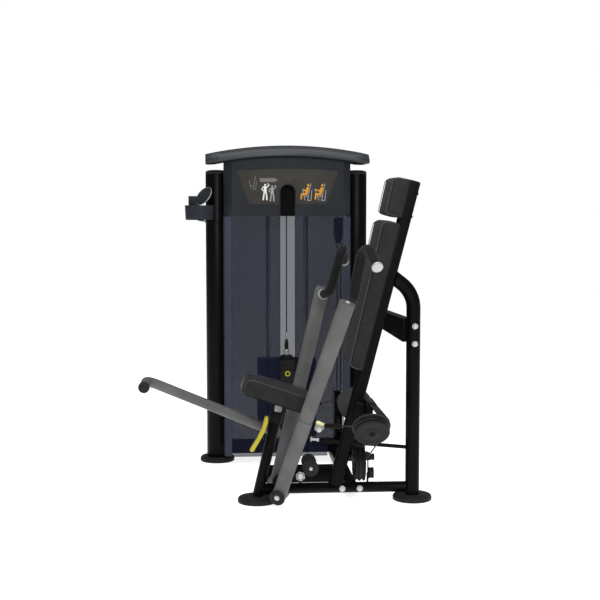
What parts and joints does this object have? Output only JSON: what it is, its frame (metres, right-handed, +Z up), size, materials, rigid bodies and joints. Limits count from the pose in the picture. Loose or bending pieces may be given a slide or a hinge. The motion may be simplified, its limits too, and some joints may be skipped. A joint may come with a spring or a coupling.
{
  "type": "chest press machine",
  "caption": "Seated chest press machine with a shrouded weight tower, angled press arms, adjustable seat and a foot-assist lever.",
  "frame": {"origin": "on the floor under the middle of the bounding box", "axes": "+Z up; the user sits facing -X; the weight tower stands towards +Y"},
  "size_m": [1.3141, 1.5548, 1.64],
  "materials": {
    "frame_black": "satin",
    "black_rubber": "matt",
    "cover_plastic": "satin",
    "header_plastic": "fine texture",
    "placard": "printed plate without lettering",
    "smoked_sheet": "smoked translucent",
    "chrome_steel": "polished",
    "stack_iron": "black enamel",
    "yellow_plastic": "moulded",
    "cable_black": "nylon coated wire rope",
    "sheave_black": "moulded nylon",
    "upholstery": "fine grain",
    "arm_grey": "satin powder coat",
    "grip_foam": "grip sleeve"
  },
  "bodies": {
    "root": {"tower_upright_left": "frame_black", "tower_upright_right": "frame_black", "tower_base_beam": "frame_black", "tower_top_beam": "frame_black", "base_frame": "frame_black", "side_base_beam": "frame_black", "lower_link_beam": "frame_black", "upper_link_beam": "frame_black", "front_leg": "frame_black", "back_tube": "frame_black", "rear_upright": "frame_black", "pulley_bracket": "frame_black", "lower_pulley_bracket": "frame_black", "cable_guide": "frame_black", "upright_cap_left": "black_rubber", "upright_cap_right": "black_rubber", "tower_foot_left": "black_rubber", "tower_foot_right": "black_rubber", "seat_foot_front": "black_rubber", "seat_foot_rear": "black_rubber", "stack_bumper_left": "black_rubber", "stack_bumper_right": "black_rubber", "top_cover": "cover_plastic", "header_panel": "header_plastic", "cup_holder": "header_plastic", "header_placard": "placard", "front_shroud_left": "smoked_sheet", "front_shroud_right": "smoked_sheet", "rear_shroud": "smoked_sheet", "guide_rod_left": "chrome_steel", "guide_rod_right": "chrome_steel", "weight_stack": "stack_iron", "lift_cable": "cable_black", "drive_cable": "cable_black", "arm_cable_left": "cable_black", "arm_cable_right": "cable_black", "back_pad": "upholstery", "head_pad": "upholstery"},
    "left_arm": {"press_arm_left": "arm_grey", "handle_left": "grip_foam"},
    "right_arm": {"press_arm_right": "arm_grey", "handle_right": "grip_foam"},
    "stack_carriage": {"weight_plate_1": "stack_iron", "weight_plate_2": "stack_iron", "weight_top_plate": "stack_iron", "selector_stem": "chrome_steel"},
    "pin": {"selector_pin": "yellow_plastic"},
    "top_sheave": {"top_pulley": "sheave_black"},
    "side_sheave": {"side_pulley": "sheave_black"},
    "lower_sheave": {"lower_pulley": "sheave_black"},
    "base_sheave": {"base_pulley": "sheave_black"},
    "left_arm_sheave": {"arm_pulley_left": "sheave_black"},
    "right_arm_sheave": {"arm_pulley_right": "sheave_black"},
    "seat": {"seat_post": "chrome_steel", "seat_plate": "frame_black", "seat_pad": "upholstery"},
    "seat_handle": {"seat_lever": "yellow_plastic"},
    "foot_bar": {"foot_lever": "arm_grey"},
    "crank": {"foot_crank": "frame_black"},
    "roller": {"foot_roller": "black_rubber"}
  },
  "joints": [
    {"name": "left_arm_press", "type": "hinge", "parent": "root", "child": "left_arm", "pos_m": [-0.046, -0.4006, 0.061], "axis": [-0.3677, -0.8966, -0.2469], "range_deg": [0, 30], "deforming": ["arm_cable_left", "arm_cable_right"]},
    {"name": "right_arm_press", "type": "hinge", "parent": "root", "child": "right_arm", "pos_m": [-0.046, -0.1606, 0.061], "axis": [0.3698, -0.8936, 0.2546], "range_deg": [0, 30]},
    {"name": "stack_lift", "type": "slide", "parent": "root", "child": "stack_carriage", "axis": [0, 0, 1], "range_m": [0, 0.265], "deforming": ["lift_cable"]},
    {"name": "pin_pull", "type": "slide", "parent": "stack_carriage", "child": "pin", "axis": [0, -1, 0], "range_m": [0, 0.09]},
    {"name": "top_pulley_spin", "type": "hinge", "parent": "root", "child": "top_sheave", "pos_m": [0.0873, 0.6174, 1.43], "axis": [0, 1, 0], "range_deg": [0, 386.6]},
    {"name": "side_pulley_spin", "type": "hinge", "parent": "root", "child": "side_sheave", "pos_m": [0.2747, 0.6174, 1.43], "axis": [0, 1, 0], "range_deg": [0, 386.6]},
    {"name": "lower_pulley_spin", "type": "hinge", "parent": "root", "child": "lower_sheave", "pos_m": [0.314, 0.5781, 0.205], "axis": [1, 0, 0], "range_deg": [0, 386.6]},
    {"name": "base_pulley_spin", "type": "hinge", "parent": "root", "child": "base_sheave", "pos_m": [0.323, -0.2806, 0.168], "axis": [1, 0, 0], "range_deg": [0, 207.5]},
    {"name": "left_arm_pulley_spin", "type": "hinge", "parent": "root", "child": "left_arm_sheave", "pos_m": [0.338, -0.6056, 0.384], "axis": [0, -0.7828, -0.6222], "range_deg": [0, 156.5]},
    {"name": "right_arm_pulley_spin", "type": "hinge", "parent": "root", "child": "right_arm_sheave", "pos_m": [0.338, 0.0444, 0.384], "axis": [0, -0.7828, 0.6222], "range_deg": [0, 156.5]},
    {"name": "seat_height", "type": "slide", "parent": "root", "child": "seat", "axis": [0.23, 0, 0.9732], "range_m": [0, 0.12]},
    {"name": "seat_lever_squeeze", "type": "hinge", "parent": "seat", "child": "seat_handle", "pos_m": [-0.1, -0.3386, 0.395], "axis": [0, 1, 0], "range_deg": [0, 10], "stiffness_Nm_per_rad": 6, "springref_deg": -20.05},
    {"name": "foot_lever_press", "type": "hinge", "parent": "root", "child": "foot_bar", "pos_m": [-0.057, -0.2306, 0.312], "axis": [0, -1, 0], "range_deg": [0, 18], "stiffness_Nm_per_rad": 60, "springref_deg": -51.57},
    {"name": "crank_turn", "type": "hinge", "parent": "root", "child": "crank", "pos_m": [0.051, -0.3326, 0.13], "axis": [0, -1, 0], "range_deg": [0, 27.5]},
    {"name": "roller_spin", "type": "hinge", "parent": "crank", "child": "roller", "pos_m": [0.097, -0.3326, 0.167], "axis": [0, 1, 0], "continuous": true}
  ],
  "couplings": [
    {"joint": "right_arm_press", "follows": "left_arm_press", "ratio": 1},
    {"joint": "stack_lift", "follows": "left_arm_press", "m_per_rad": 0.5},
    {"joint": "top_pulley_spin", "follows": "left_arm_press", "ratio": 12.82},
    {"joint": "side_pulley_spin", "follows": "left_arm_press", "ratio": 12.82},
    {"joint": "lower_pulley_spin", "follows": "left_arm_press", "ratio": 12.82},
    {"joint": "base_pulley_spin", "follows": "left_arm_press", "ratio": 6.8493},
    {"joint": "left_arm_pulley_spin", "follows": "left_arm_press", "ratio": 5.1507},
    {"joint": "right_arm_pulley_spin", "follows": "left_arm_press", "ratio": 5.1507},
    {"joint": "crank_turn", "follows": "foot_lever_press", "ratio": 1.5}
  ]
}
